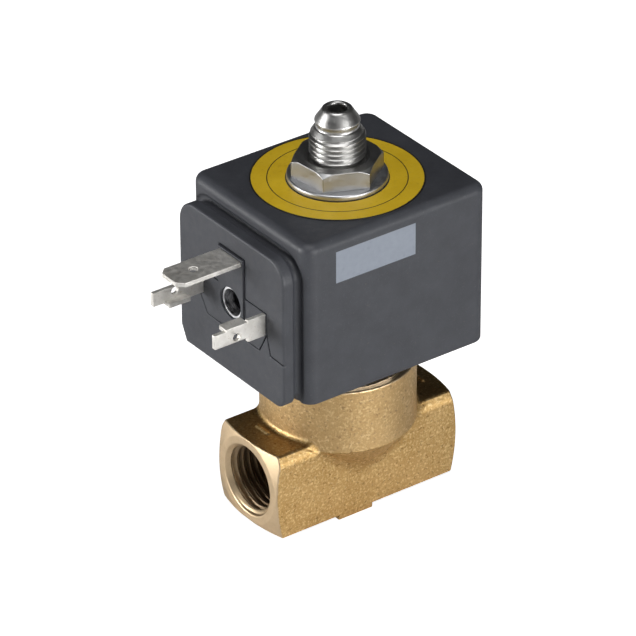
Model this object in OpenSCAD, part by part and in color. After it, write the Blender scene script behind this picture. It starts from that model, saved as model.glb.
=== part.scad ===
// Three-way solenoid valve: a forged brass body with two threaded ports, an armature tube
// held by a hex nut, and an encapsulated coil with a plug connector on its side.
// Millimetres. The armature tube stands on the Z axis, z = 0 is the underside of the body's
// pad, the inlet port and the connector face -X.

/* [Valve body] */
// Length of the body over its two port faces
body_length = 39; // [37:0.5:50]
// Width of the square bar
body_width = 17.4; // [16.8:0.2:24]
// Height of the square bar
body_height = 16.2; // [15.8:0.2:20]
// Radius of the domed port ends
end_dome_r = 33; // [26:1:60]
// Height of the bevel on the top edges
top_bevel = 1.6; // [0.5:0.1:2]
// Height of the locating pad under the body
pad_height = 1; // [0.4:0.1:2]
// Length of the locating pad
pad_length = 7.3; // [4:0.1:12]
// Height of the port axis above the underside of the bar
port_height = 8; // [7.8:0.1:10]
// Radius of the port thread at its major diameter (G 1/4)
port_r = 6.58; // [4.8:0.01:6.7]
// Depth of each port
port_depth = 12; // [8:0.5:12]

/* [Boss] */
// Outer radius of the round boss
boss_r = 13.7; // [13.2:0.1:16]
// Height of the boss rim above the top of the bar
boss_height = 10.7; // [9:0.1:14]
// Radius of the recess around the hex nut
cup_r = 12.3; // [11.9:0.1:12.6]
// Depth of the recess around the hex nut
cup_depth = 3.9; // [2:0.1:4.5]

/* [Seat] */
// Radius of the main orifice
orifice_r = 1.25; // [0.6:0.05:1.6]
// Height that the armature lifts
stroke = 0.9; // [0.5:0.05:1.1]

/* [Armature tube] */
// Outer radius of the tube
tube_r = 5; // [4.98:0.01:5.1]
// Wall of the tube
tube_wall = 0.5; // [0.4:0.05:0.6]
// Size across the flats of the tube nut
tube_nut_af = 20; // [19:0.5:20]
// Height of the hex of the tube nut
tube_nut_height = 6.7; // [4:0.1:9]
// Turns of the return spring
spring_turns = 6; // [4:1:8]
// Radius of the spring wire
spring_wire_r = 0.27; // [0.2:0.01:0.3]

/* [Top fitting] */
// Radius of the thread of the top fitting (G 1/8)
stud_r = 4.86; // [4.5:0.01:4.92]
// Height of the fitting above the coil
fitting_height = 13.6; // [12:0.2:18]
// Radius of the exhaust bore
exhaust_r = 1.75; // [1:0.05:2]
// Size across the flats of the coil nut
coil_nut_af = 14; // [12:0.5:17]
// Thickness of the coil nut
coil_nut_height = 3.4; // [2.5:0.1:5]
// Radius of the coil washer
washer_r = 8.7; // [8:0.1:9.5]
// Thickness of the coil washer
washer_height = 1.2; // [0.8:0.1:1.6]

/* [Coil] */
// Length of the coil block away from the connector, from the tube axis
coil_back = 19.4; // [18.5:0.1:24]
// Length of the coil block on the connector side, from the tube axis
coil_front = 18.8; // [18.5:0.1:21]
// Width of the coil block
coil_width = 33.6; // [32:0.2:44]
// Height of the coil block
coil_height = 30.9; // [30:0.1:36]
// Radius of the upright edges
coil_edge_r = 2.5; // [1:0.1:3.5]
// Radius of the top and bottom edges
coil_top_r = 1.2; // [0.5:0.1:2]
// Outer radius of the ring label
label_r = 15; // [12:0.1:16]

/* [Connector] */
// How far the connector block stands out of the coil block
connector_depth = 3.3; // [2:0.1:6]
// Height of the plug screw above the underside of the coil
screw_height = 14.1; // [13:0.1:16]
// Distance of each line terminal from the plug screw
terminal_offset = 9; // [8:0.1:10]
// Length of the line terminals
line_length = 10.3; // [8:0.1:12]
// Length of the earth terminal
earth_length = 12.9; // [10:0.1:15]
// Width of the earth terminal
earth_width = 6.3; // [4.8:0.1:6.4]
// Thickness of the terminal strip
strip = 0.8; // [0.6:0.05:1]
// Radius of the plug screw thread
screw_r = 1.5; // [1.2:0.05:2]

/* [Hidden] */
$fn = 96;
nest = 0.05;             // gap between pieces that are nested and don't move
carrier_gap = 0.12;      // gap seen around the terminal carrier
slide_gap = 0.08;        // gap between the armature and its tube
turn_gap = 0.1;          // gap between the coil's bore and the tube
far = 100;               // reach of the cutting solids

// heights on the tube axis
bar_z = pad_height;
port_z = bar_z + port_height;
bar_top_z = bar_z + body_height;
boss_top_z = bar_top_z + boss_height;
cup_z = boss_top_z - cup_depth;
floor_z = bar_top_z - 2.8;
flange_z = bar_top_z + 1;
flange_height = 1.5;
seat_top_z = floor_z + 1.58;
nut_z = cup_z + 0.3;
nut_top_z = nut_z + tube_nut_height;
coil_z = nut_top_z + 0.5;
coil_top_z = coil_z + coil_height;
nut_seat_z = coil_top_z + washer_height;
tube_top_z = coil_top_z - 4.9;
fitting_top_z = coil_top_z + fitting_height;

// body
end_dome_x = body_length / 2 - sqrt(pow(end_dome_r, 2) - pow(8.1, 2));
side_bevel = 0.9;
boss_under_z = bar_top_z - 1.5;
boss_under_depth = 6;
web_x = body_length / 2 - port_depth;
pad_x = -6.2;
passage_r = 1.6;
outlet_x = 4.15;
outlet_r = 1.2;
chamber_r = 5.6;
shank_r = 8.95;
seal_groove_in_r = 6.4;
seal_groove_out_r = 8.2;
seal_r = 0.74;

// orifice seat
seat_r = 2.6;
seat_tip_r = 1.9;
seat_foot_z = port_z + 2.2;

// tube and what slides in it
tube_in_r = tube_r - tube_wall;
flange_r = 8.6;
bell_r = 6;
bell_in_r = 5.5;
shoulder_z = nut_z + 2.7;
shoulder_wall = 0.6;
armature_r = tube_in_r - slide_gap;
armature_z = seat_top_z + 0.62;
armature_top_z = armature_z + 22.4;
collar_r = 5.3;
collar_height = 1;
seal_disc_r = 2.35;
upper_seal_r = 2.15;
core_z = armature_top_z + stroke + 0.1;
core_nozzle_r = 1.5;
exhaust_orifice_r = 0.9;
core_seat_depth = 3;
spring_r = 4.95;
spring_sides = 8;
spring_steps = 20;

// top fitting, radii and heights from the top down
cone_tip_r = 2.5;
cone_base_r = 3.9;
cone_height = 2.2;
neck_r = 3.8;
neck_height = 1.2;
lead_in_height = 1.6;
relief_r = 4.3;
relief_below = 0.8;      // how far the thread relief reaches into the coil nut
relief_above = 0.2;      // and above it
nut_sink_r = 5.7;
nut_sink = 0.7;

// coil
coil_bore_r = tube_r + turn_gap;
cavity_front_x = -16.3;
cavity_back_x = coil_back - 3.2;
cavity_y = coil_width / 2 - 2.6;
cavity_z = coil_z + 1.5;
cavity_top_z = coil_top_z - 2;
plate = 2.5;
yoke_y = 12;
yoke_front_x = -12;
sleeve_r = 6.05;
bobbin_r = 6.9;
bobbin_flange_r = 12.8;
bobbin_flange = 1.1;
bobbin_z = cavity_z + nest + plate + nest;
bobbin_top_z = cavity_top_z - nest - plate - nest;
winding_r = 12.4;
upper_seal_pocket_r = 7.2;
upper_seal_pocket = 1.45;
ring_seal_r = 0.7;

// connector
face_x = -coil_front - connector_depth;
screw_z = coil_z + screw_height;
connector_right = -14.7;
connector_left = 15.5;
connector_z = coil_z - 0.3;
connector_top_z = coil_z + 27.7;
connector_corner_r = 4;
connector_chamfer = 3.4;
line_high = 2.1;
carrier_z = screw_z - 5.6;
carrier_shoulder_z = screw_z + line_high + 0.2;
carrier_top_z = screw_z + 9.8;
column_y = 3.6;
column_proud = 0.4;
line_step = 3.5;
line_leg_low = 1.2;
line_leg_high = 1.44;
fold_end = 7.9;
fold_width = 1.4;
earth_z = screw_z + 8.5;
insert_r = 2.85;
insert_sink_r = 2.45;
insert_sink = 1.2;
tail_x = -15.5;
wire_r = 0.2;

// ---------------------------------------------------------------- shared shapes

function arc(cx, cy, r, from, to, n = 6) =
    [for (i = [0 : n]) let (a = from + (to - from) * i / n) [cx + r * cos(a), cy + r * sin(a)]];

// rectangle from (x0, y0) to (x1, y1) with all four corners rounded
function round_rect(x0, y0, x1, y1, r) = concat(
    arc(x1 - r, y1 - r, r, 0, 90),
    arc(x0 + r, y1 - r, r, 90, 180),
    arc(x0 + r, y0 + r, r, 180, 270),
    arc(x1 - r, y0 + r, r, 270, 360)
);

// upright cylinder between two heights
module post(r, z0, z1) {
    translate([0, 0, z0])
        cylinder(r = r, h = z1 - z0);
}

// upright sleeve between two heights
module sleeve(r_out, r_in, z0, z1) {
    difference() {
        post(r_out, z0, z1);
        post(r_in, z0 - 1, z1 + 1);
    }
}

// hex prism between two heights, af across its flats, its corners turned by an angle
module hex(af, z0, z1, turn) {
    translate([0, 0, z0])
        rotate(turn)
            cylinder(r = af / sqrt(3), h = z1 - z0, $fn = 6);
}

// seal ring of round section
module torus(r_mid, r, z) {
    translate([0, 0, z])
        rotate_extrude()
            translate([r_mid, 0])
                circle(r = r, $fn = 32);
}

// cylinder along X between two places
module bar_x(r, x0, x1) {
    translate([x0, 0, 0])
        rotate([0, 90, 0])
            cylinder(r = r, h = x1 - x0);
}

// outline drawn in Y and Z, pulled along X
module along_x(points, x0, x1) {
    translate([x0, 0, 0])
        rotate([90, 0, 90])
            linear_extrude(height = x1 - x0)
                polygon(points);
}

// ---------------------------------------------------------------- valve body group

module bar_section() {
    half = body_width / 2;
    along_x([
        [-half, bar_z],
        [half, bar_z],
        [half, bar_top_z - top_bevel],
        [half - side_bevel, bar_top_z],
        [-half + side_bevel, bar_top_z],
        [-half, bar_top_z - top_bevel]
    ], -body_length / 2, body_length / 2);
}

module domed_bar() {
    intersection() {
        bar_section();
        translate([end_dome_x, 0, port_z])
            sphere(r = end_dome_r, $fn = 128);
        translate([-end_dome_x, 0, port_z])
            sphere(r = end_dome_r, $fn = 128);
    }
}

module boss() {
    post(boss_r, boss_under_z, boss_top_z);
    translate([0, 0, boss_under_z - boss_under_depth])
        cylinder(r1 = boss_r - 5, r2 = boss_r, h = boss_under_depth);
}

module body_cuts() {
    for (side = [-1, 1])
        translate([0, 0, port_z])
            rotate(side > 0 ? 0 : 180)
                bar_x(port_r, web_x, far);
    post(cup_r, cup_z, far);
    post(shank_r + nest, flange_z, far);
    post(chamber_r, floor_z, far);
    difference() {
        post(seal_groove_out_r, flange_z - 2 * seal_r, flange_z + 0.5);
        post(seal_groove_in_r, 0, flange_z + 1);
    }
    // inlet: from the left port to under the seat
    post(seat_r + nest, seat_foot_z, floor_z + 1);
    post(orifice_r, port_z, seat_foot_z + 1);
    translate([0, 0, port_z])
        bar_x(passage_r, -web_x - 1, 0);
    // outlet: from the chamber floor to the right port
    translate([outlet_x, 0, 0])
        post(outlet_r, port_z, floor_z + 1);
    translate([0, 0, port_z])
        bar_x(passage_r, outlet_x, web_x + 1);
}

module valve_body() {
    color("#b48c50")
        difference() {
            union() {
                domed_bar();
                boss();
                translate([pad_x, -body_width / 2, 0])
                    cube([pad_length, body_width, pad_height + 1]);
            }
            body_cuts();
        }
}

module orifice_seat() {
    color("#c8ccd0")
        difference() {
            union() {
                post(seat_r, seat_foot_z, floor_z + 0.9);
                post(seat_tip_r, floor_z, seat_top_z);
            }
            post(orifice_r, 0, far);
        }
}

module tube_seal() {
    color("#202022")
        torus((seal_groove_in_r + seal_groove_out_r) / 2, seal_r, flange_z - seal_r);
}

module armature_tube() {
    color("#c4c6c8")
        difference() {
            union() {
                post(flange_r, flange_z, flange_z + flange_height);
                post(bell_r, flange_z, shoulder_z + shoulder_wall);
                post(tube_r, flange_z, tube_top_z);
            }
            post(bell_in_r, flange_z - 1, shoulder_z);
            post(tube_in_r, flange_z, far);
        }
}

module tube_nut() {
    color("#d0d2d4")
        difference() {
            union() {
                post(shank_r, flange_z + flange_height, nut_z + 0.5);
                intersection() {
                    hex(tube_nut_af, nut_z, nut_top_z, 45.3);
                    translate([0, 0, nut_z])
                        cylinder(r1 = tube_nut_af / 2 + 8, r2 = tube_nut_af / 2 + 0.6, h = tube_nut_height);
                }
            }
            post(bell_r + nest, 0, shoulder_z + shoulder_wall + nest);
            post(tube_r + nest, 0, far);
        }
}

module fixed_core() {
    cone_z = fitting_top_z - cone_height;
    neck_z = cone_z - neck_height;
    thread_top_z = neck_z - lead_in_height;
    nut_top = nut_seat_z + coil_nut_height;
    color("#d4d6d8")
        difference() {
            union() {
                post(tube_in_r - nest, core_z, tube_top_z + 0.5);
                post(tube_r - nest, tube_top_z, nut_top - relief_below);
                post(relief_r, nut_top - relief_below - 1, nut_top + relief_above + 1);
                post(stud_r, nut_top + relief_above, thread_top_z);
                translate([0, 0, thread_top_z])
                    cylinder(r1 = stud_r, r2 = neck_r, h = lead_in_height);
                post(neck_r, neck_z, cone_z);
                translate([0, 0, cone_z])
                    cylinder(r1 = cone_base_r, r2 = cone_tip_r, h = cone_height);
                post(core_nozzle_r, core_z - 0.18 + nest, core_z + 1);
            }
            post(exhaust_r, core_z + core_seat_depth, far);
            post(exhaust_orifice_r, 0, far);
            difference() {
                post(3.8 + nest, core_z - 1, core_z + 1.5);
                post(3 - nest, core_z - 2, core_z + 2);
            }
        }
}

module shading_ring() {
    color("#b87040")
        sleeve(3.8, 3, core_z + 0.05, core_z + 1.5);
}

// helical wire: rings of points, one after another, joined into a closed tube
module return_spring() {
    low = armature_z + collar_height + spring_wire_r + 0.02;
    high = shoulder_z - spring_wire_r - 0.02;
    rings = spring_turns * spring_steps;
    points = [
        for (i = [0 : rings])
            for (j = [0 : spring_sides - 1])
                let (
                    turn = 360 * i / spring_steps,
                    a = 360 * j / spring_sides,
                    r = spring_r + spring_wire_r * cos(a)
                )
                [r * cos(turn), r * sin(turn), low + (high - low) * i / rings + spring_wire_r * sin(a)]
    ];
    skin = [
        for (i = [0 : rings - 1])
            for (j = [0 : spring_sides - 1])
                let (a = i * spring_sides, n = (j + 1) % spring_sides)
                [a + j, a + n, a + spring_sides + n, a + spring_sides + j]
    ];
    start_cap = [[for (j = [0 : spring_sides - 1]) spring_sides - 1 - j]];
    end_cap = [[for (j = [0 : spring_sides - 1]) rings * spring_sides + j]];
    color("#c8c8c8")
        polyhedron(points = points, faces = concat(skin, start_cap, end_cap), convexity = 10);
}

module coil_washer() {
    color("#d0d2d2")
        sleeve(washer_r, tube_r + nest, coil_top_z, nut_seat_z);
}

module coil_nut() {
    color("#d0d2d2")
        difference() {
            intersection() {
                hex(coil_nut_af, nut_seat_z, nut_seat_z + coil_nut_height, 36);
                translate([0, 0, nut_seat_z])
                    cylinder(r1 = coil_nut_af / 2 + 4, r2 = coil_nut_af / 2 + 0.3, h = coil_nut_height);
            }
            post(tube_r + nest, 0, far);
            translate([0, 0, nut_seat_z + coil_nut_height - nut_sink])
                cylinder(r1 = tube_r, r2 = nut_sink_r, h = nut_sink + 0.01);
        }
}

// ---------------------------------------------------------------- armature group

module armature() {
    color("#9aa0a6")
        difference() {
            union() {
                post(armature_r, armature_z, armature_top_z);
                post(collar_r, armature_z, armature_z + collar_height);
            }
            post(seal_disc_r + nest, 0, armature_z + 2);
            post(upper_seal_r + nest, armature_top_z - 2, far);
            // grooves that let the fluid pass up to the exhaust
            for (side = [-1, 1])
                translate([side * (armature_r + 0.2) - 1, -0.7, armature_z + collar_height])
                    cube([2, 1.4, far]);
        }
}

module lower_seal() {
    color("#1c1c1e")
        post(seal_disc_r, seat_top_z + 0.02, armature_z + 2 - nest);
}

module upper_seal() {
    color("#1c1c1e")
        post(upper_seal_r, armature_top_z - 2 + nest, armature_top_z - 0.1);
}

// ---------------------------------------------------------------- coil group

// block rounded on its upright edges and on its top and bottom edges
module coil_block() {
    intersection() {
        translate([0, 0, coil_z])
            linear_extrude(height = coil_height)
                polygon(round_rect(-coil_front, -coil_width / 2, coil_back, coil_width / 2, coil_edge_r));
        along_x(
            round_rect(-coil_width / 2, coil_z, coil_width / 2, coil_top_z, coil_top_r),
            -far, far
        );
        translate([0, far, 0])
            rotate([90, 0, 0])
                linear_extrude(height = 2 * far)
                    polygon(round_rect(-coil_front, coil_z, coil_back, coil_top_z, coil_top_r));
    }
}

module connector_block() {
    r = connector_corner_r;
    along_x(
        concat(
            arc(connector_left - r, connector_top_z - r, r, 0, 90),
            arc(connector_right + r, connector_top_z - r, r, 90, 180),
            [
                [connector_right, connector_z],
                [connector_left - connector_chamfer, connector_z],
                [connector_left, connector_z + connector_chamfer]
            ]
        ),
        face_x, 1 - coil_front
    );
}

module carrier_outline(x0, x1, grow) {
    along_x([
        [terminal_offset + grow, carrier_shoulder_z + grow],
        [column_y + grow, carrier_shoulder_z + grow],
        [column_y + grow, carrier_top_z + grow],
        [-column_y - grow, carrier_top_z + grow],
        [-column_y - grow, carrier_shoulder_z + grow],
        [-terminal_offset - 0.8 - grow, carrier_shoulder_z + grow],
        [-terminal_offset - 0.8 - grow, screw_z - 1.8],
        [-terminal_offset + 1.3 - grow, carrier_z - grow],
        [terminal_offset - 1.6 + grow, carrier_z - grow],
        [terminal_offset + 0.8 + grow, screw_z - 1.8],
        [terminal_offset + 0.8 + grow, carrier_shoulder_z + grow]
    ], x0, x1);
}

module coil_housing() {
    color("#3c3e42")
        difference() {
            union() {
                coil_block();
                connector_block();
            }
            translate([cavity_front_x, -cavity_y, cavity_z])
                cube([cavity_back_x - cavity_front_x, 2 * cavity_y, cavity_top_z - cavity_z]);
            post(coil_bore_r, coil_z - 1, far);
            post(upper_seal_pocket_r, coil_top_z - upper_seal_pocket, far);
            carrier_outline(face_x - 1, cavity_front_x + 1, carrier_gap);
        }
}

module terminal_carrier() {
    color("#35373b")
        difference() {
            union() {
                carrier_outline(face_x, cavity_front_x - nest, 0);
                translate([face_x - column_proud, -column_y, carrier_z + 1])
                    cube([3, 2 * column_y, carrier_top_z - carrier_z - 1]);
            }
            // slots for the three terminals and the seat of the plug screw's insert
            for (side = [-1, 1])
                translate([face_x - 1, side * terminal_offset - strip / 2 - nest, screw_z - line_high - nest])
                    cube([far, strip + 2 * nest, 2 * line_high + 2 * nest]);
            translate([face_x - 1, -earth_width / 2 - nest, earth_z - nest])
                cube([far, earth_width + 2 * nest, strip + 2 * nest]);
            translate([0, 0, screw_z])
                bar_x(insert_r + nest, face_x - 1, 0);
        }
}

module earth_terminal() {
    tip_x = face_x - earth_length;
    half = earth_width / 2;
    corner = 1.2;
    color("#b4b0a6")
        difference() {
            union() {
                translate([0, 0, earth_z])
                    linear_extrude(height = strip)
                        polygon([
                            [tip_x, -half + corner],
                            [tip_x + corner, -half],
                            [-13.2, -half],
                            [-13.2, half],
                            [tip_x + corner, half],
                            [tip_x, half - corner]
                        ]);
                // riser that bonds the earth terminal to the yoke frame
                translate([-13.2 - strip, -half, earth_z])
                    cube([strip, earth_width, cavity_top_z - 0.1 - earth_z]);
            }
            translate([face_x - 7.9, 0, 0])
                post(0.85, earth_z - 1, earth_z + 2);
        }
}

module line_terminal() {
    color("#b4b0a6")
        difference() {
            union() {
                // root and tail
                translate([face_x - line_step, -strip / 2, -line_high])
                    cube([tail_x - face_x + line_step, strip, 2 * line_high]);
                // leg
                translate([face_x - line_length, -strip / 2, -line_leg_low])
                    cube([line_length, strip, line_leg_low + line_leg_high]);
                // folded edge
                translate([face_x - fold_end, -strip / 2, line_leg_high - strip + 0.4])
                    cube([fold_end - line_step, strip + fold_width, strip]);
            }
            translate([face_x - 5.8, 0, -0.3])
                rotate([90, 0, 0])
                    cylinder(r = 0.7, h = 4, center = true);
        }
}

module line_terminal_right() {
    translate([0, -terminal_offset, screw_z])
        line_terminal();
}

module line_terminal_left() {
    translate([0, terminal_offset, screw_z])
        rotate([180, 0, 0])
            line_terminal();
}

module screw_insert() {
    color("#b0a890")
        translate([0, 0, screw_z])
            difference() {
                bar_x(insert_r, face_x, cavity_front_x - 0.5);
                bar_x(screw_r, face_x - 1, cavity_front_x - 1.5);
                translate([face_x - 0.01, 0, 0])
                    rotate([0, 90, 0])
                        cylinder(r1 = insert_sink_r, r2 = screw_r, h = insert_sink + 0.01);
            }
}

module lead_wires() {
    color("#a8703c")
        for (side = [-1, 1])
            translate([0, side * terminal_offset, screw_z])
                bar_x(wire_r, tail_x, -8.8);
}

module ring_label() {
    color("#d8b428")
        sleeve(label_r, washer_r + 0.2, coil_top_z, coil_top_z + 0.15);
}

module bobbin() {
    color("#d8d0bc")
        difference() {
            union() {
                post(bobbin_r, bobbin_z, bobbin_top_z);
                post(bobbin_flange_r, bobbin_z, bobbin_z + bobbin_flange);
                post(bobbin_flange_r, bobbin_top_z - bobbin_flange, bobbin_top_z);
            }
            post(sleeve_r + nest, 0, far);
        }
}

module winding() {
    color("#a8602c")
        sleeve(
            winding_r, bobbin_r + nest,
            bobbin_z + bobbin_flange + nest, bobbin_top_z - bobbin_flange - nest
        );
}

module yoke_frame() {
    low = cavity_z + nest;
    high = cavity_top_z - nest;
    back = cavity_back_x - nest;
    color("#8a8e92")
        difference() {
            union() {
                translate([yoke_front_x, -yoke_y, low])
                    cube([back - yoke_front_x, 2 * yoke_y, plate]);
                translate([-13.15, -yoke_y, high - plate])
                    cube([back + 13.15, 2 * yoke_y, plate]);
                translate([back - plate, -yoke_y, low])
                    cube([plate, 2 * yoke_y, high - low]);
            }
            post(sleeve_r + nest, 0, far);
        }
}

module lower_sleeve() {
    color("#94989c")
        sleeve(sleeve_r, coil_bore_r, cavity_z + nest, cavity_z + 10);
}

module upper_sleeve() {
    color("#94989c")
        sleeve(sleeve_r, coil_bore_r, cavity_top_z - 8.4, cavity_top_z - nest);
}

module lower_coil_seal() {
    color("#1c1c1e")
        sleeve(tube_nut_af / 2 - 0.4, coil_bore_r, nut_top_z, coil_z);
}

module upper_coil_seal() {
    color("#1c1c1e")
        torus(6.2, ring_seal_r, coil_top_z - ring_seal_r - 0.02);
}

valve_body();
orifice_seat();
tube_seal();
armature_tube();
tube_nut();
fixed_core();
shading_ring();
return_spring();
coil_washer();
coil_nut();
armature();
lower_seal();
upper_seal();
coil_housing();
terminal_carrier();
earth_terminal();
line_terminal_left();
line_terminal_right();
screw_insert();
lead_wires();
ring_label();
bobbin();
winding();
yoke_frame();
lower_sleeve();
upper_sleeve();
lower_coil_seal();
upper_coil_seal();
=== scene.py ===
"""Looks of the solenoid valve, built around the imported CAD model."""

import math

import bpy
import numpy as np
from mathutils import Matrix, Vector


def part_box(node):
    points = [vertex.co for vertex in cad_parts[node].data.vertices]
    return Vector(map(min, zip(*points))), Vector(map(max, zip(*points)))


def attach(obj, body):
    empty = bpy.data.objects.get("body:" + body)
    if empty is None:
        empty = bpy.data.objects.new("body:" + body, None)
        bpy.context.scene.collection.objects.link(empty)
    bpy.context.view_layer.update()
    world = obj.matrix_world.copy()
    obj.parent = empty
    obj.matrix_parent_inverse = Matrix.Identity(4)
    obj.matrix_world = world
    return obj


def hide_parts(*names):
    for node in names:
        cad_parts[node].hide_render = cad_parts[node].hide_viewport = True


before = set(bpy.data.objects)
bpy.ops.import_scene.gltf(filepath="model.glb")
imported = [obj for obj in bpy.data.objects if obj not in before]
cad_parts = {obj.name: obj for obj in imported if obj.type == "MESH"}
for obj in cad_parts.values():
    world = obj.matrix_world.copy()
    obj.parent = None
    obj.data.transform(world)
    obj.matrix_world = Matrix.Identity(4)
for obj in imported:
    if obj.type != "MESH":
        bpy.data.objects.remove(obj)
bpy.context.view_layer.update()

MM = 0.001  # sizes below are in millimetres, meshes are in metres


def box_mm(node):
    low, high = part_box(node)
    return [v / MM for v in low], [v / MM for v in high]


# ---------------------------------------------------------------- camera

CAMERA_AZIMUTH = -36.16
CAMERA_ELEVATION = 30.75
CAMERA_ROLL = -0.24
CAMERA_DISTANCE = 869.5
CAMERA_LENS = 286.0
AIM_HEIGHT = 36.0
AIM_RIGHT = -3.39
AIM_UP = -1.12


def make_camera():
    az, el, roll = (math.radians(a) for a in (CAMERA_AZIMUTH, CAMERA_ELEVATION, CAMERA_ROLL))
    back = Vector((math.sin(az) * math.cos(el), -math.cos(az) * math.cos(el), math.sin(el)))
    right = Vector((math.cos(az), math.sin(az), 0))
    up = back.cross(right)
    right, up = (
        right * math.cos(roll) + up * math.sin(roll),
        up * math.cos(roll) - right * math.sin(roll),
    )
    place = Vector((0, 0, AIM_HEIGHT)) + back * CAMERA_DISTANCE + right * AIM_RIGHT + up * AIM_UP
    camera = bpy.data.objects.new("camera", bpy.data.cameras.new("camera"))
    bpy.context.scene.collection.objects.link(camera)
    turn = Matrix((right, up, back)).transposed().to_4x4()
    camera.matrix_world = Matrix.Translation(place * MM) @ turn
    camera.data.lens = CAMERA_LENS
    camera.data.sensor_width = 36.0
    camera.data.clip_start = 0.05
    bpy.context.scene.camera = camera


# ---------------------------------------------------------------- surfaces from distance fields


def round_and(a, b, r):
    """Intersection of two distance fields with a rounded edge of radius r."""
    return np.minimum(-r, np.maximum(a, b)) + np.hypot(np.maximum(r + a, 0), np.maximum(r + b, 0))


def round_or(a, b, r):
    """Union of two distance fields with a fillet of radius r."""
    return np.maximum(r, np.minimum(a, b)) - np.hypot(np.maximum(r - a, 0), np.maximum(r - b, 0))


def segment(u, v, a, b):
    """Distance in a plane from the point (u, v) to the segment from a to b."""
    du, dv = b[0] - a[0], b[1] - a[1]
    t = np.clip(((u - a[0]) * du + (v - a[1]) * dv) / (du * du + dv * dv), 0, 1)
    return np.hypot(u - a[0] - t * du, v - a[1] - t * dv)


def outline(u, v, points):
    """Signed distance in a plane from (u, v) to a closed outline, negative inside."""
    distance = np.full(np.shape(u), 1e9, np.float32)
    inside = np.zeros(np.shape(u), bool)
    for a, b in zip(points, points[1:] + points[:1]):
        distance = np.minimum(distance, segment(u, v, a, b))
        if a[1] != b[1]:
            crosses = (a[1] > v) != (b[1] > v)
            inside ^= crosses & (u < (b[0] - a[0]) * (v - a[1]) / (b[1] - a[1]) + a[0])
    return np.where(inside, -distance, distance)


def field_mesh(name, field, low, high, step):
    """Mesh of the surface where field(x, y, z) is zero, on a grid of that step: one vertex in each
    cell that the surface crosses, moved on to the surface and kept inside the box."""
    axes = [
        np.arange(a - 1.5 * step, b + 2.5 * step, step, dtype=np.float32) for a, b in zip(low, high)
    ]
    values = np.empty([len(a) for a in axes], np.float32)
    for first in range(0, len(axes[0]), 24):
        slab = np.meshgrid(axes[0][first : first + 24], axes[1], axes[2], indexing="ij")
        values[first : first + 24] = field(*slab)
    inside = values < 0
    corners = [(i, j, k) for i in (0, 1) for j in (0, 1) for k in (0, 1)]
    cells = [n - 1 for n in values.shape]
    count = np.zeros(cells, np.uint8)
    for i, j, k in corners:
        count += inside[i : i + cells[0], j : j + cells[1], k : k + cells[2]]
    at = np.argwhere((count > 0) & (count < 8))
    number = np.full(cells, -1, np.int32)
    number[tuple(at.T)] = np.arange(len(at))
    total = np.zeros((len(at), 3), np.float32)
    hits = np.zeros((len(at), 1), np.float32)
    for a in corners:
        for axis in range(3):
            if a[axis]:
                continue
            b = list(a)
            b[axis] = 1
            fa = values[tuple((at + a).T)]
            fb = values[tuple((at + b).T)]
            hit = (fa < 0) != (fb < 0)
            t = np.where(hit, fa / np.where(hit, fa - fb, 1), 0)
            point = np.tile(np.array(a, np.float32), (len(at), 1))
            point[:, axis] = t
            total += point * hit[:, None]
            hits += hit[:, None]
    points = np.array([a[0] for a in axes], np.float32) + (at + total / hits) * step
    for _ in range(2):
        here = field(*points.T)
        slope = np.stack(
            [
                (field(*(points + d).T) - field(*(points - d).T)) / (0.1 * step)
                for d in np.eye(3, dtype=np.float32) * 0.05 * step
            ],
            1,
        )
        move = here[:, None] * slope / np.maximum((slope**2).sum(1), 0.05)[:, None]
        points -= np.clip(move, -0.4 * step, 0.4 * step)
    points = np.clip(points, low, high).astype(np.float32)
    faces = []
    for axis in range(3):
        ahead = [slice(0, n) for n in values.shape]
        behind = list(ahead)
        ahead[axis] = slice(1, None)
        behind[axis] = slice(0, -1)
        change = inside[tuple(behind)].astype(np.int8) - inside[tuple(ahead)]
        edges = np.argwhere(change != 0)
        sign = change[tuple(edges.T)]
        one, two = [(1, 2), (2, 0), (0, 1)][axis]
        ring = []
        for back_one, back_two in ((1, 1), (0, 1), (0, 0), (1, 0)):
            cell = edges.copy()
            cell[:, one] -= back_one
            cell[:, two] -= back_two
            ring.append(number[tuple(cell.T)])
        quad = np.stack(ring, 1)
        quad[sign < 0] = quad[sign < 0][:, ::-1]
        faces.append(quad)
    faces = np.concatenate(faces)
    mesh = bpy.data.meshes.new(name)
    mesh.vertices.add(len(points))
    mesh.vertices.foreach_set("co", (points * MM).astype(np.float32).ravel())
    mesh.loops.add(faces.size)
    mesh.loops.foreach_set("vertex_index", faces.astype(np.int32).ravel())
    mesh.polygons.add(len(faces))
    mesh.polygons.foreach_set("loop_start", np.arange(0, faces.size, 4, dtype=np.int32))
    mesh.polygons.foreach_set("use_smooth", np.ones(len(faces), bool))
    mesh.update(calc_edges=True)
    mesh.validate()
    piece = bpy.data.objects.new(name, mesh)
    bpy.context.scene.collection.objects.link(piece)
    return piece, points


def point_values(piece, name, values):
    layer = piece.data.attributes.new(name, "FLOAT", "POINT")
    layer.data.foreach_set("value", np.asarray(values, np.float32))


# ---------------------------------------------------------------- valve body

BODY_STEP = 0.17
PORT_Z = 9.0
PORT_MINOR_R = 5.72
PORT_THREAD_DEPTH = 0.8
PORT_PITCH = 1.337
PORT_WEB = 7.5
PORT_CHAMFER_R = 6.7
DOME_R = 33.0
DOME_RIM_R = 8.1
PASSAGE_R = 1.6
CUP_R = 12.3
SHANK_R = 9.0
CHAMBER_R = 5.6
ORIFICE_R = 1.25
PAD_MIDDLE_X = -2.55
PAD_HALF_LENGTH = 3.65
FORGING_MARKS = (((-15.4, -0.6), (-15.4, 2.4)), ((16.6, -2.6), (16.6, -0.4)))
FORGING_MARK_R = 0.4


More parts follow.
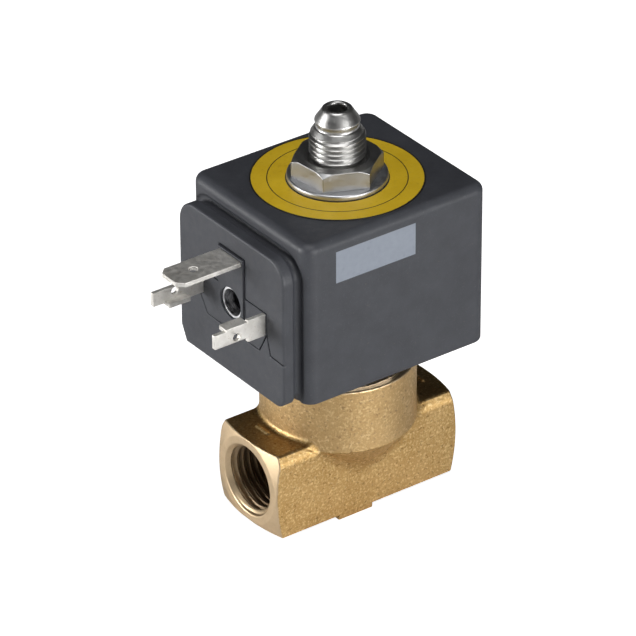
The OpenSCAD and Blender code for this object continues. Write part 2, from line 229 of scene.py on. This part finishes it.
def body_sizes():
    high = box_mm("valve_body")[1]
    return {
        "half": high[0],
        "top": high[2],
        "boss_r": high[1],
        "bar_low": 1.0,
        "bar_top": high[2] - 10.7,
        "bar_y": 8.7,
        "cup": high[2] - 3.9,
    }


def bar_field(x, y, z, s):
    side = np.abs(y) - s["bar_y"]
    bar = np.maximum(side, np.maximum(s["bar_low"] - z, z - s["bar_top"]))
    bevel = (side * 1.6 + (z - s["bar_top"] + 1.6) * 0.9) / 1.84
    return round_and(bar, bevel, 0.3)


def dome_field(x, y, z, s):
    centre = s["half"] - math.sqrt(DOME_R**2 - DOME_RIM_R**2)
    reach = np.sqrt((np.abs(x) - centre) ** 2 + y * y + (z - PORT_Z) ** 2) - DOME_R
    return np.maximum(reach, np.abs(x) - s["half"])


def boss_field(x, y, z, s):
    r = np.hypot(x, y)
    under = s["bar_top"] - 1.5
    wall = np.maximum(r - s["boss_r"], under - z)
    boss = round_and(wall, z - s["top"], 0.25)
    skirt = np.maximum(((r - s["boss_r"] + 0.1) * 6 - (z - under) * 5) / 7.81, z - under)
    return np.minimum(boss, skirt)


def port_field(x, y, z, s):
    """Threaded bore of each port, negative in the hole."""
    depth = s["half"] - np.abs(x)
    r = np.hypot(y, z - PORT_Z)
    turn = np.arctan2(z - PORT_Z, y) / (2 * math.pi)
    phase = (depth / PORT_PITCH + turn) % 1.0
    ridge = np.clip(np.abs(2 * phase - 1) * 1.25 - 0.125, 0, 1)
    runs = np.clip((9.6 - depth) / 1.0, 0, 1)
    wall = PORT_MINOR_R + PORT_THREAD_DEPTH * ridge * runs
    wall = np.maximum(wall, PORT_CHAMFER_R - 0.9 * depth)
    bottom = PORT_WEB - np.abs(x) + (r - PASSAGE_R) * 0.35
    return np.maximum((r - wall) * 0.8, bottom)


def body_field(x, y, z):
    s = BODY
    r = np.hypot(x, y)
    bar = round_and(bar_field(x, y, z, s), dome_field(x, y, z, s), 0.2)
    body = round_or(bar, boss_field(x, y, z, s), 1.0)
    pad = np.maximum(np.abs(x - PAD_MIDDLE_X) - PAD_HALF_LENGTH, np.abs(y) - s["bar_y"] + 0.05)
    pad = round_and(pad, np.maximum(-z, z - 2), 0.3)
    body = np.minimum(body, pad)
    for a, b in FORGING_MARKS:
        mark = np.hypot(segment(x, y, a, b), z - s["bar_top"]) - FORGING_MARK_R
        body = round_or(body, mark, 0.25)
    hole = port_field(x, y, z, s)
    bore = np.hypot(y, z - PORT_Z) - PASSAGE_R
    hole = np.minimum(hole, np.maximum(bore, np.maximum(x, -8 - x)))
    hole = np.minimum(hole, np.maximum(bore, np.maximum(4.15 - x, x - 8)))
    hole = np.minimum(hole, np.maximum(r - CUP_R, s["cup"] - z))
    hole = np.minimum(hole, np.maximum(r - SHANK_R, s["bar_top"] + 1 - z))
    hole = np.minimum(hole, np.maximum(r - CHAMBER_R, s["bar_top"] - 2.8 - z))
    hole = np.minimum(hole, np.maximum(r - ORIFICE_R, PORT_Z - z))
    return np.maximum(body, -hole)


def make_body():
    global BODY
    BODY = body_sizes()
    low, high = box_mm("valve_body")
    piece, points = field_mesh("forged_body", body_field, low, high, BODY_STEP)
    x, y, z = points.T
    turned = np.abs(dome_field(x, y, z, BODY)) < 0.12
    turned |= (np.abs(np.hypot(x, y) - CUP_R) < 0.15) & (z > BODY["cup"] - 0.2)
    turned |= (np.abs(z - BODY["top"]) < 0.2) | (port_field(x, y, z, BODY) < 0.1)
    boss = (np.abs(np.hypot(x, y) - BODY["boss_r"]) < 0.12) & (z > BODY["bar_top"] - 1.3)
    point_values(piece, "machined", np.where(turned, 1.0, np.where(boss, 0.2, 0.0)))
    # Painted shade: the flat tops beside the boss are darkened for the coil's shadow, and the port bores
    # get darker further in.
    depth = np.clip((BODY["half"] - np.abs(x) - 0.8) / 3, 0, 1)
    in_port = (port_field(x, y, z, BODY) < 0.1) * (0.35 + 0.65 * depth)
    flat_top = (np.abs(z - BODY["bar_top"]) < 0.3) & (np.hypot(x, y) > BODY["boss_r"] + 0.5)
    point_values(piece, "painted_shade", np.where(flat_top, 0.5, in_port * (depth > 0)))
    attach(piece, "valve")
    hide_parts("valve_body")
    piece.data.materials.append(forged_brass())
    return piece


# ---------------------------------------------------------------- coil housing

HOUSING_STEP = 0.2
EDGE_R = 2.5
TOP_R = 1.6
CONNECTOR_R = 4.2
NECK_R = 0.3
LOWER_CORNER_R = 2.4
GROOVE_R = 0.8


def housing_sizes():
    low, high = box_mm("coil_housing")
    carrier_low, carrier_high = box_mm("terminal_carrier")
    screw_low, screw_high = box_mm("screw_insert")
    return {
        "face": low[0],
        "front": low[0] + 3.3,
        "back": high[0],
        "side": high[1],
        "low": low[2] + 0.3,
        "block_low": low[2],
        "top": high[2],
        "screw_z": (screw_low[2] + screw_high[2]) / 2,
        "carrier_low": carrier_low[2],
        "carrier_top": carrier_high[2],
    }


def carrier_outline():
    s = HOUSING
    z = s["screw_z"]
    return [
        (9.8, z + 2.3), (3.6, z + 2.3), (3.6, s["carrier_top"]), (-3.6, s["carrier_top"]),
        (-3.6, z + 2.3), (-9.8, z + 2.3), (-9.8, z - 1.8), (-7.7, s["carrier_low"]),
        (7.4, s["carrier_low"]), (9.8, z - 1.8),
    ]


def housing_field(x, y, z):
    s = HOUSING
    half = (s["back"] - s["front"]) / 2
    u = np.abs(x - (s["back"] + s["front"]) / 2) - half + EDGE_R
    v = np.abs(y) - s["side"] + EDGE_R
    plan = np.hypot(np.maximum(u, 0), np.maximum(v, 0)) + np.minimum(np.maximum(u, v), 0) - EDGE_R
    block = round_and(round_and(plan, z - s["top"], TOP_R), s["low"] - z, 0.6)
    section = round_and(np.abs(y - 0.4) - 15.1, z - s["low"] - 27.7, CONNECTOR_R)
    section = round_and(section, s["block_low"] - z, np.where(y < 0, LOWER_CORNER_R, 0.6))
    section = np.maximum(section, (2 * (y - 15.5) + s["block_low"] - z + 3.0) / math.sqrt(5))
    connector = np.maximum(round_and(section, s["face"] - x, 0.4), x - s["front"] - 1)
    body = np.maximum(round_or(block, connector, NECK_R), s["block_low"] - z)
    groove = np.hypot(section, x - s["front"] + GROOVE_R * 0.4) - GROOVE_R
    body = np.maximum(body, -groove)
    r = np.hypot(x, y)
    body = np.maximum(body, 5.15 - r)
    body = np.maximum(body, -np.maximum(r - 7.2, s["top"] - 1.45 - z))
    near = x < s["front"] + 3
    if near.any():
        pocket = outline(y[near], z[near], carrier_outline()) - 0.14
        pocket = np.maximum(pocket, x[near] - s["front"] - 2.5)
        zc = s["screw_z"]
        line = segment(y[near], z[near], (-9.9, zc - 1.8), (-10.9, zc - 5.4))
        line = np.minimum(line, segment(y[near], z[near], (-10.9, zc - 5.4), (-15.5, zc - 5.6)))
        line = np.maximum(line - 0.13, x[near] - s["face"] - 0.4)
        body[near] = np.maximum(body[near], -np.minimum(pocket, line))
    return body


def make_housing():
    global HOUSING
    HOUSING = housing_sizes()
    low, high = box_mm("coil_housing")
    piece, points = field_mesh("coil_encapsulation", housing_field, low, high, HOUSING_STEP)
    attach(piece, "coil")
    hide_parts("coil_housing")
    piece.data.materials.append(coil_plastic(True))
    return piece


# ---------------------------------------------------------------- top fitting

STUD_R = 4.86
STUD_PITCH = 0.907
STUD_THREAD_DEPTH = 0.52
FITTING_TURNS = 160


def fitting_profile(top):
    """Half section of the fixed core and its fitting, from the core's face up the outside and back
    down the bore: (radius, height, 1 where the thread is cut)."""
    core = box_mm("fixed_core")[0][2]
    shoulder = top - 18.5
    relief = top - 9.8
    cone = top - 2.25
    rows = [(0.9, core, 0), (1.5, core, 0), (1.5, core + 0.2, 0), (4.45, core + 0.2, 0)]
    rows += [(4.45, shoulder, 0), (4.95, shoulder, 0), (4.95, relief, 0), (4.3, relief + 0.1, 0)]
    rows += [(4.3, relief + 0.9, 0)]
    z = relief + 1.0
    thread_top = top - 4.95
    while z < cone - 1.3:
        rows.append((min(STUD_R, STUD_R - (z - thread_top) * 0.66), z, 1))
        z += 0.06
    rows += [(3.80, cone - 1.25, 0), (3.74, cone - 1.0, 0), (3.74, cone - 0.35, 0)]
    rows += [(3.88, cone - 0.22, 0)]
    rows += [(3.92, cone - 0.05, 0), (3.86, cone + 0.12, 0)]
    rows += [(2.72, top - 0.42, 0), (2.62, top - 0.22, 0), (2.42, top - 0.06, 0), (2.2, top, 0)]
    rows += [(1.95, top - 0.04, 0), (1.78, top - 0.2, 0), (1.75, top - 0.5, 0), (1.75, core + 3, 0)]
    rows += [(0.9, core + 3, 0)]
    return rows


def make_fitting():
    rows = fitting_profile(box_mm("fixed_core")[1][2])
    turn = np.arange(FITTING_TURNS) / FITTING_TURNS
    points = []
    for r, z, thread in rows:
        radius = np.full(FITTING_TURNS, r)
        if thread:
            phase = (z / STUD_PITCH - turn) % 1.0
            groove = np.clip(1.3 * np.abs(2 * phase - 1) - 0.15, 0, 1)
            radius = np.minimum(radius, STUD_R - STUD_THREAD_DEPTH * groove)
        angle = 2 * math.pi * turn
        height = np.full(FITTING_TURNS, z)
        points.append(np.stack([radius * np.cos(angle), radius * np.sin(angle), height], 1))
    faces = []
    for i in range(len(rows)):
        low, high = i * FITTING_TURNS, (i + 1) % len(rows) * FITTING_TURNS
        for k in range(FITTING_TURNS):
            n = (k + 1) % FITTING_TURNS
            faces.append((low + k, low + n, high + n, high + k))
    mesh = bpy.data.meshes.new("exhaust_fitting")
    mesh.from_pydata((np.concatenate(points) * MM).tolist(), [], faces)
    mesh.shade_smooth()
    mesh.set_sharp_from_angle(angle=math.radians(50))
    piece = bpy.data.objects.new("exhaust_fitting", mesh)
    bpy.context.scene.collection.objects.link(piece)
    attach(piece, "valve")
    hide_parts("fixed_core")
    steel = turned_steel("fitting_steel", (0.58, 0.575, 0.56), 0.33, (1, 1, 6))
    mesh.materials.append(steel)
    return piece


# ---------------------------------------------------------------- materials


class Nodes:
    """Small helper that adds and joins shader nodes."""

    def __init__(self, name):
        self.material = bpy.data.materials.new(name)
        self.material.use_nodes = True
        self.tree = self.material.node_tree
        self.tree.nodes.clear()
        self.shader = self.add("ShaderNodeBsdfPrincipled")
        out = self.add("ShaderNodeOutputMaterial")
        self.join(self.shader.outputs[0], out.inputs[0])
        self.place = self.add("ShaderNodeTexCoord").outputs["Object"]

    def add(self, kind, **values):
        node = self.tree.nodes.new(kind)
        for key, value in values.items():
            setattr(node, key, value)
        return node

    def join(self, a, b):
        self.tree.links.new(a, b)

    def put(self, value, socket):
        if isinstance(value, (int, float)):
            socket.default_value = value
        elif isinstance(value, (tuple, list)):
            short = len(value) == 3 and len(socket.default_value) == 4
            socket.default_value = (*value, 1.0) if short else value
        else:
            self.join(value, socket)

    def math(self, operation, a, b=0.0, clamp=False):
        node = self.add("ShaderNodeMath", operation=operation, use_clamp=clamp)
        self.put(a, node.inputs[0])
        self.put(b, node.inputs[1])
        return node.outputs[0]

    def noise(self, per_mm, detail=3.0, rough=0.5, stretch=None):
        node = self.add("ShaderNodeTexNoise")
        node.inputs["Scale"].default_value = per_mm / MM
        node.inputs["Detail"].default_value = detail
        node.inputs["Roughness"].default_value = rough
        place = self.place
        if stretch:
            mapping = self.add("ShaderNodeMapping")
            mapping.inputs["Scale"].default_value = stretch
            self.join(place, mapping.inputs["Vector"])
            place = mapping.outputs[0]
        self.join(place, node.inputs["Vector"])
        return node.outputs["Fac"]

    def ramp(self, fac, low, high, a=0.0, b=1.0):
        node = self.add("ShaderNodeMapRange")
        self.join(fac, node.inputs["Value"])
        for socket, value in zip(("From Min", "From Max", "To Min", "To Max"), (low, high, a, b)):
            node.inputs[socket].default_value = value
        return node.outputs[0]

    def mix(self, fac, a, b):
        node = self.add("ShaderNodeMix", data_type="RGBA")
        self.put(fac, node.inputs["Factor"])
        self.put(a, node.inputs[6])
        self.put(b, node.inputs[7])
        return node.outputs[2]

    def bump(self, height, strength, depth_mm, normal=None):
        node = self.add("ShaderNodeBump")
        node.inputs["Strength"].default_value = strength
        node.inputs["Distance"].default_value = depth_mm * MM
        self.join(height, node.inputs["Height"])
        if normal is not None:
            self.join(normal, node.inputs["Normal"])
        return node.outputs[0]

    def attribute(self, name):
        return self.add("ShaderNodeAttribute", attribute_name=name).outputs["Fac"]

    def finish(self, colour, roughness, metallic=0.0, normal=None):
        self.put(colour, self.shader.inputs["Base Color"])
        self.put(roughness, self.shader.inputs["Roughness"])
        self.shader.inputs["Metallic"].default_value = metallic
        if normal is not None:
            self.join(normal, self.shader.inputs["Normal"])
        return self.material


def between(n, value, low, high):
    """1 where value lies between low and high."""
    return n.math("MULTIPLY", n.math("GREATER_THAN", value, low), n.math("LESS_THAN", value, high))


def forged_brass():
    n = Nodes("forged_brass")
    machined = n.attribute("machined")
    grain = n.add("ShaderNodeTexVoronoi", feature="F1")
    grain.inputs["Scale"].default_value = 3.0 / MM
    n.join(n.place, grain.inputs["Vector"])
    cell = grain.outputs["Color"]
    shade = n.add("ShaderNodeSeparateColor")
    n.join(cell, shade.inputs[0])
    speck = n.math("MULTIPLY", n.ramp(shade.outputs[0], 0.1, 0.95), n.ramp(n.noise(2.2, 4), 0.35, 0.65))
    broad = n.noise(0.12, 4)
    skin = n.mix(n.ramp(broad, 0.3, 0.7), (0.50, 0.315, 0.115), (0.60, 0.395, 0.165))
    skin = n.mix(n.ramp(speck, 0.15, 0.8, 0, 0.75), skin, (0.86, 0.66, 0.34))
    pits = n.ramp(n.noise(1.5, 3), 0.58, 0.70, 0, 0.7)
    skin = n.mix(pits, skin, (0.24, 0.13, 0.04))
    turned = n.mix(n.ramp(n.noise(0.6, 5), 0.3, 0.7), (0.66, 0.50, 0.31), (0.74, 0.57, 0.37))
    colour = n.mix(machined, skin, turned)
    # Painted shade: dark brown mixed in on the flat tops and deeper in the ports.
    colour = n.mix(n.ramp(n.attribute("painted_shade"), 0, 1, 0, 0.85), colour, (0.10, 0.06, 0.03))
    fine = n.noise(3.0, 3)
    keep = n.math("SUBTRACT", 1.0, machined)
    height = n.math("MULTIPLY", n.noise(0.9, 5, 0.6), n.ramp(keep, 0, 1, 0.1, 1))
    normal = n.bump(height, 0.6, 0.10)
    normal = n.bump(n.math("MULTIPLY", shade.outputs[1], keep), 0.6, 0.035, normal)
    rough = n.math("ADD", n.ramp(fine, 0.3, 0.7, 0.42, 0.60), n.math("MULTIPLY", machined, -0.06))
    return n.finish(colour, rough, 1.0, normal)


PANEL_X = (-12.7, 3.9)
PANEL_BELOW_TOP = (8.5, 2.5)


def coil_plastic(printed):
    """Dark moulded plastic, with a blank printed panel on the front where printed."""
    n = Nodes("coil_plastic_printed" if printed else "coil_plastic")
    mottle = n.ramp(n.noise(0.25, 5), 0.3, 0.7)
    colour = n.mix(mottle, (0.040, 0.042, 0.050), (0.050, 0.053, 0.062))
    speck = n.ramp(n.noise(3.2, 2), 0.60, 0.78, 0, 0.5)
    colour = n.mix(speck, colour, (0.085, 0.088, 0.098))
    dust = n.ramp(n.noise(2.1, 2), 0.70, 0.80, 0, 0.35)
    colour = n.mix(dust, colour, (0.14, 0.125, 0.09))
    rough = n.ramp(n.noise(0.8, 4), 0.3, 0.7, 0.46, 0.58)
    normal = n.bump(n.noise(4.0, 3, 0.6), 0.35, 0.05)
    normal = n.bump(n.noise(0.07, 2), 0.2, 0.4, normal)
    if printed:
        split = n.add("ShaderNodeSeparateXYZ")
        n.join(n.place, split.inputs[0])
        x, y, z = split.outputs
        low, high = box_mm("coil_housing")
        panel = between(n, x, PANEL_X[0] * MM, PANEL_X[1] * MM)
        bottom, top = (high[2] - PANEL_BELOW_TOP[0]) * MM, (high[2] - PANEL_BELOW_TOP[1]) * MM
        panel = n.math("MULTIPLY", panel, between(n, z, bottom, top))
        panel = n.math("MULTIPLY", panel, n.math("LESS_THAN", y, (low[1] + 0.3) * MM))
        worn = n.math("MULTIPLY", panel, n.ramp(n.noise(1.1, 5), 0.25, 0.4, 0.86, 1.0))
        ink = n.mix(n.noise(0.9, 4), (0.22, 0.245, 0.29), (0.27, 0.30, 0.35))
        colour = n.mix(worn, colour, ink)
    return n.finish(colour, rough, 0.0, normal)


def turned_steel(name, colour, rough, along=(1, 1, 14)):
    """Bright turned or stamped metal with fine tool lines."""
    n = Nodes(name)
    lines = n.noise(0.5, 5, 0.6, along)
    blotch = n.noise(0.3, 4)
    dark = tuple(c * 0.82 for c in colour)
    tint = n.mix(n.ramp(blotch, 0.3, 0.75), dark, colour)
    roughness = n.ramp(lines, 0.3, 0.7, rough * 0.85, rough * 1.25)
    normal = n.bump(lines, 0.08, 0.01)
    return n.finish(tint, roughness, 1.0, normal)


INSERT_RIM_R = 2.4


def insert_metal():
    """Bright rim around a screw thread that is painted dark as shade down the hole."""
    n = Nodes("insert_metal")
    split = n.add("ShaderNodeSeparateXYZ")
    n.join(n.place, split.inputs[0])
    aside = n.math("POWER", n.math("ABSOLUTE", split.outputs[1]), 2.0)
    above = n.math("ABSOLUTE", n.math("SUBTRACT", split.outputs[2], HOUSING["screw_z"] * MM))
    radius = n.math("SQRT", n.math("ADD", aside, n.math("POWER", above, 2.0)))
    rim = n.ramp(radius, INSERT_RIM_R * MM, (INSERT_RIM_R + 0.1) * MM)
    thread = n.ramp(n.noise(1.2, 4, 0.5, (6, 1, 1)), 0.35, 0.65)
    # Painted shade: inside the rim the thread is near black, standing in for the shade down the hole.
    hole = n.mix(thread, (0.04, 0.04, 0.045), (0.20, 0.20, 0.21))
    rough = n.ramp(n.noise(1.5, 3), 0.3, 0.7, 0.32, 0.5)
    return n.finish(n.mix(rim, hole, (0.92, 0.92, 0.93)), rough, 1.0, n.bump(thread, 0.2, 0.02))


def tinned():
    n = Nodes("tinned_strip")
    patch = n.ramp(n.noise(0.5, 5), 0.3, 0.7)
    colour = n.mix(patch, (0.66, 0.64, 0.60), (0.86, 0.84, 0.80))
    specks = n.ramp(n.noise(2.4, 3), 0.60, 0.75, 0, 0.6)
    colour = n.mix(specks, colour, (0.52, 0.47, 0.38))
    rough = n.ramp(n.noise(1.2, 4), 0.3, 0.7, 0.45, 0.65)
    normal = n.bump(n.noise(1.8, 4), 0.5, 0.05)
    return n.finish(colour, rough, 0.9, normal)


RING_BORDER_R = 14.72
RING_CIRCLE_R = (11.9, 12.08)


def ring_print():
    """Yellow film with a black border and a black circle."""
    n = Nodes("ring_print")
    split = n.add("ShaderNodeSeparateXYZ")
    n.join(n.place, split.inputs[0])
    flat = n.add("ShaderNodeCombineXYZ")
    n.join(split.outputs[0], flat.inputs[0])
    n.join(split.outputs[1], flat.inputs[1])
    length = n.add("ShaderNodeVectorMath", operation="LENGTH")
    n.join(flat.outputs[0], length.inputs[0])
    radius = length.outputs["Value"]
    line = n.math("GREATER_THAN", radius, RING_BORDER_R * MM)
    circle = between(n, radius, RING_CIRCLE_R[0] * MM, RING_CIRCLE_R[1] * MM)
    line = n.math("MAXIMUM", line, circle)
    tone = n.ramp(n.noise(0.2, 4), 0.3, 0.7)
    yellow = n.mix(tone, (0.66, 0.43, 0.012), (0.74, 0.50, 0.02))
    grime = n.ramp(n.noise(1.4, 5), 0.58, 0.75, 0, 0.35)
    yellow = n.mix(grime, yellow, (0.42, 0.25, 0.01))
    colour = n.mix(line, yellow, (0.012, 0.011, 0.010))
    rough = n.ramp(n.noise(0.9, 4), 0.3, 0.7, 0.42, 0.6)
    normal = n.bump(n.noise(1.2, 4), 0.25, 0.03)
    return n.finish(colour, rough, 0.0, normal)


def simple(name, low, high, rough, metallic, grain):
    """Material of the pieces held inside: two tones, grain and uneven gloss."""
    n = Nodes(name)
    colour = n.mix(n.ramp(n.noise(grain, 5), 0.3, 0.7), low, high)
    roughness = n.ramp(n.noise(grain * 2.5, 4), 0.3, 0.7, rough * 0.8, rough * 1.2)
    normal = n.bump(n.noise(grain * 4, 4), 0.3, 0.04)
    return n.finish(colour, roughness, metallic, normal)


def winding_wire():
    n = Nodes("enamelled_wire")
    wave = n.add("ShaderNodeTexWave", wave_type="BANDS", bands_direction="Z")
    wave.inputs["Scale"].default_value = 0.35 / MM
    n.join(n.place, wave.inputs["Vector"])
    colour = n.mix(wave.outputs["Fac"], (0.22, 0.07, 0.02), (0.55, 0.22, 0.08))
    rough = n.ramp(n.noise(1.0, 3), 0.3, 0.7, 0.25, 0.4)
    return n.finish(colour, rough, 0.8, n.bump(wave.outputs["Fac"], 0.6, 0.1))


# ---------------------------------------------------------------- CAD nodes that stay


def dress(node, material, bevel=0.0, segments=3, angle=35):
    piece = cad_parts[node]
    piece.data.materials.clear()
    piece.data.materials.append(material)
    if bevel:
        weld = piece.modifiers.new("weld", "WELD")
        weld.merge_threshold = 0.002 * MM
        edge = piece.modifiers.new("edges", "BEVEL")
        edge.width = bevel * MM
        edge.segments = segments
        edge.limit_method = "ANGLE"
        edge.angle_limit = math.radians(angle)
        edge.harden_normals = True


def dress_nodes():
    stainless = turned_steel("stainless_nut", (0.44, 0.44, 0.44), 0.36, (1, 1, 3))
    washer = turned_steel("washer_steel", (0.58, 0.59, 0.61), 0.4, (2, 2, 1))
    iron = simple("core_iron", (0.36, 0.37, 0.38), (0.52, 0.53, 0.54), 0.3, 1.0, 0.6)
    rubber = simple("seal_rubber", (0.012, 0.012, 0.013), (0.03, 0.03, 0.032), 0.6, 0.0, 0.8)
    dress("coil_nut", stainless, 0.14)
    # Painted light: the tube nut's steel is made near white to make up for the shade inside the brass
    # cup.
    dress("tube_nut", turned_steel("tube_nut_painted_light_steel", (0.96, 0.95, 0.93), 0.45, (1, 1, 5)), 0.18)
    dress("coil_washer", washer, 0.35, 4)
    dress("ring_label", ring_print())
    dress("terminal_carrier", coil_plastic(False), 0.12)
    for node in ("earth_terminal", "line_terminal_left", "line_terminal_right"):
        dress(node, tinned(), 0.13)
    dress("screw_insert", insert_metal(), 0.15, 3)
    dress("armature_tube", turned_steel("tube_steel", (0.68, 0.68, 0.68), 0.25))
    dress("orifice_seat", turned_steel("seat_steel", (0.66, 0.66, 0.66), 0.2))
    dress("armature", iron, 0.1)
    for node in ("lower_sleeve", "upper_sleeve"):
        dress(node, iron)
    for node in ("tube_seal", "lower_seal", "upper_seal", "lower_coil_seal", "upper_coil_seal"):
        dress(node, rubber)
    dress("return_spring", simple("spring_wire", (0.5, 0.5, 0.5), (0.72, 0.72, 0.7), 0.2, 1.0, 1.5))
    dress("shading_ring", simple("copper", (0.55, 0.22, 0.10), (0.72, 0.34, 0.18), 0.3, 1.0, 1.0))
    dress("lead_wires", simple("lead_copper", (0.40, 0.13, 0.05), (0.60, 0.24, 0.1), 0.3, 1.0, 1.0))
    dress("bobbin", simple("bobbin_nylon", (0.55, 0.50, 0.42), (0.68, 0.64, 0.56), 0.5, 0.0, 0.4))
    dress("yoke_frame", simple("zinc_steel", (0.34, 0.36, 0.38), (0.55, 0.57, 0.6), 0.38, 1.0, 0.35), 0.2)
    dress("winding", winding_wire())


# ---------------------------------------------------------------- studio

FLOOR_HALF = 3.0  # metres
FLOOR_GLOW = 0.9
HORIZON = 0.62
ZENITH = 0.24
LIGHT_AIM = (0, 0, 35)


def area_light(name, place, power, width, height):
    light = bpy.data.lights.new(name, "AREA")
    light.shape = "RECTANGLE"
    light.size, light.size_y = width * MM, height * MM
    light.energy = power
    lamp = bpy.data.objects.new(name, light)
    bpy.context.scene.collection.objects.link(lamp)
    lamp.location = Vector(place) * MM
    aim = Vector(LIGHT_AIM) * MM - lamp.location
    lamp.rotation_euler = aim.to_track_quat("-Z", "Y").to_euler()


def make_floor():
    mesh = bpy.data.meshes.new("floor")
    corners = [(a * FLOOR_HALF, b * FLOOR_HALF, 0) for a, b in ((-1, -1), (1, -1), (1, 1), (-1, 1))]
    mesh.from_pydata(corners, [], [(0, 1, 2, 3)])
    floor = bpy.data.objects.new("floor", mesh)
    bpy.context.scene.collection.objects.link(floor)
    n = Nodes("pale_floor")
    n.finish((0.82, 0.82, 0.82), 0.9)
    glow = n.add("ShaderNodeEmission")
    seen = n.add("ShaderNodeLightPath").outputs["Is Camera Ray"]
    n.join(n.math("MULTIPLY", seen, FLOOR_GLOW), glow.inputs["Strength"])
    both = n.add("ShaderNodeAddShader")
    n.join(n.shader.outputs[0], both.inputs[0])
    n.join(glow.outputs[0], both.inputs[1])
    out = [k for k in n.tree.nodes if k.type == "OUTPUT_MATERIAL"][0]
    n.join(both.outputs[0], out.inputs[0])
    mesh.materials.append(n.material)


def make_studio():
    scene = bpy.context.scene
    scene.view_settings.view_transform = "Standard"
    world = bpy.data.worlds.new("studio")
    scene.world = world
    world.use_nodes = True
    tree = world.node_tree
    split = tree.nodes.new("ShaderNodeSeparateXYZ")
    tree.links.new(tree.nodes.new("ShaderNodeTexCoord").outputs["Generated"], split.inputs[0])
    fade = tree.nodes.new("ShaderNodeMapRange")
    tree.links.new(split.outputs[2], fade.inputs["Value"])
    ends = (("From Min", 0.1), ("From Max", 0.75), ("To Min", HORIZON), ("To Max", ZENITH))
    for socket, value in ends:
        fade.inputs[socket].default_value = value
    tree.links.new(fade.outputs[0], tree.nodes["Background"].inputs[1])
    area_light("key", (-620, 300, 60), 5.4, 300, 300)
    area_light("front", (60, -620, 80), 3.6, 420, 260)
    area_light("top", (-120, -160, 600), 1.9, 420, 420)
    make_floor()


make_camera()
make_body()
make_housing()
make_fitting()
dress_nodes()
make_studio()
